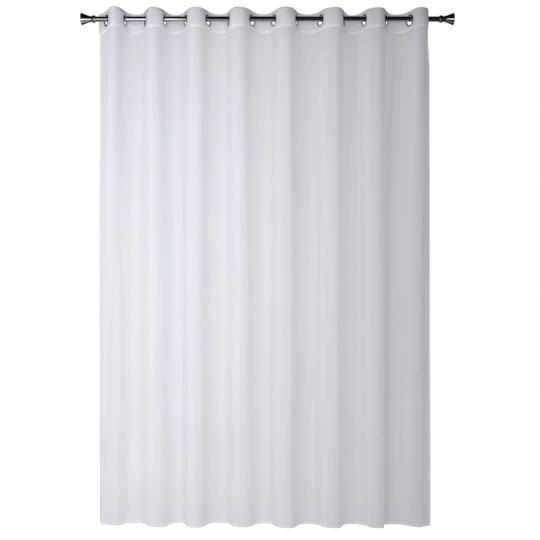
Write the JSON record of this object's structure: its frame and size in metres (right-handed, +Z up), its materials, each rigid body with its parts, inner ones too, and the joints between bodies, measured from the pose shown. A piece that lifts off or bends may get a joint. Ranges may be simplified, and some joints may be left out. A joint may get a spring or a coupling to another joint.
{
  "type": "sheer voile eyelet curtain on its curtain rod",
  "caption": "Floor-length sheer white voile curtain hanging in deep vertical folds from metal eyelets on a round dark rod with trumpet finials.",
  "frame": {"origin": "on the rod's axis, half-way along the rod", "axes": "+Z up, +X along the rod to the viewer's right, +Y towards the window, so the room sees the curtain from -Y"},
  "size_m": [1.883, 0.1293, 2.603],
  "materials": {
    "voile": "sheer plain-weave white voile",
    "heading_cloth": "stitched voile over heading tape",
    "eyelet_metal": "polished dark nickel plate",
    "rod_metal": "polished black nickel plate"
  },
  "bodies": {
    "root": {"panel": "voile", "heading": "heading_cloth", "eyelet_01": "eyelet_metal", "eyelet_02": "eyelet_metal", "eyelet_03": "eyelet_metal", "eyelet_04": "eyelet_metal", "eyelet_05": "eyelet_metal", "eyelet_06": "eyelet_metal", "eyelet_07": "eyelet_metal", "eyelet_08": "eyelet_metal", "eyelet_09": "eyelet_metal", "eyelet_10": "eyelet_metal", "eyelet_11": "eyelet_metal", "eyelet_12": "eyelet_metal", "eyelet_13": "eyelet_metal", "eyelet_14": "eyelet_metal", "eyelet_15": "eyelet_metal", "eyelet_16": "eyelet_metal", "rod": "rod_metal", "finial_left": "rod_metal", "finial_right": "rod_metal"}
  },
  "joints": []
}
